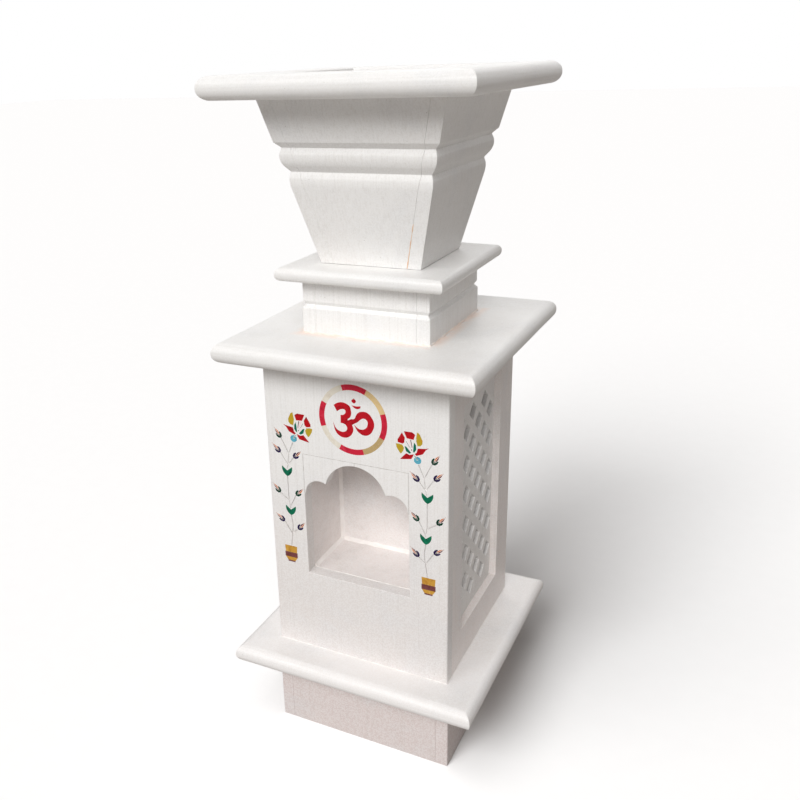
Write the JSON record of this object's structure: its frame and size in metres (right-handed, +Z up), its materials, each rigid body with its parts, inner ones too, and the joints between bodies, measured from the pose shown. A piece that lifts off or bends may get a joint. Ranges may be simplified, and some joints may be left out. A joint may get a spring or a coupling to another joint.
{
  "type": "tulsi vrindavan planter",
  "caption": "Square marble pedestal planter with an arched lamp niche, pierced side screens, stone inlay and a tapered pot on top.",
  "frame": {"origin": "middle of the square foot, on the ground", "axes": "+Z up, the arched niche faces -Y, +X to the right of someone facing the niche"},
  "size_m": [0.356, 0.356, 0.914],
  "materials": {
    "marble": "polished white marble with faint grey clouding",
    "red_stone": "polished red stone chip",
    "dark_red_stone": "polished dark red stone chip",
    "gold_stone": "polished honey-coloured stone chip",
    "cream_stone": "polished cream stone chip",
    "salmon_stone": "polished salmon-coloured stone chip",
    "green_stone": "polished green stone chip",
    "teal_stone": "polished blue-green stone chip",
    "plum_stone": "polished plum-coloured stone chip",
    "blue_stone": "polished light blue stone chip",
    "white_stone": "polished white shell chip"
  },
  "bodies": {
    "root": {"plinth_front_panel": "marble", "plinth_back_panel": "marble", "plinth_left_panel": "marble", "plinth_right_panel": "marble", "body_front_panel": "marble", "body_back_panel": "marble", "body_left_panel": "marble", "body_right_panel": "marble", "neck_front_panel": "marble", "neck_back_panel": "marble", "neck_left_panel": "marble", "neck_right_panel": "marble", "pot_front_panel": "marble", "pot_back_panel": "marble", "pot_left_panel": "marble", "pot_right_panel": "marble", "base_slab": "marble", "top_slab": "marble", "ledge_slab": "marble", "rim_slab": "marble", "arch_insert": "marble", "jali_left": "marble", "jali_right": "marble", "niche_left_wall": "marble", "niche_right_wall": "marble", "niche_back_wall": "marble", "niche_floor_slab": "marble", "niche_ceiling_slab": "marble", "ring_red_segments": "red_stone", "ring_cream_segments": "cream_stone", "left_flower_red_petals": "red_stone", "left_flower_gold_petals": "gold_stone", "left_flower_sepals": "teal_stone", "left_flower_white_ray": "white_stone", "left_flower_dark_rays": "dark_red_stone", "left_flower_bead": "blue_stone", "left_stems": "salmon_stone", "left_leaves": "green_stone", "left_green_bud_cups": "teal_stone", "left_plum_bud_cups": "plum_stone", "left_bud_hearts": "cream_stone", "left_bud_tips": "dark_red_stone", "left_bud_gold_tips": "gold_stone", "left_vase_gold": "gold_stone", "left_vase_bands": "plum_stone", "right_flower_red_petals": "red_stone", "right_flower_gold_petals": "gold_stone", "right_flower_sepals": "teal_stone", "right_flower_white_ray": "white_stone", "right_flower_dark_rays": "dark_red_stone", "right_flower_bead": "blue_stone", "right_stems": "salmon_stone", "right_leaves": "green_stone", "right_green_bud_cups": "teal_stone", "right_plum_bud_cups": "plum_stone", "right_bud_hearts": "cream_stone", "right_bud_tips": "dark_red_stone", "right_bud_gold_tips": "gold_stone", "right_vase_gold": "gold_stone", "right_vase_bands": "plum_stone"}
  },
  "joints": []
}
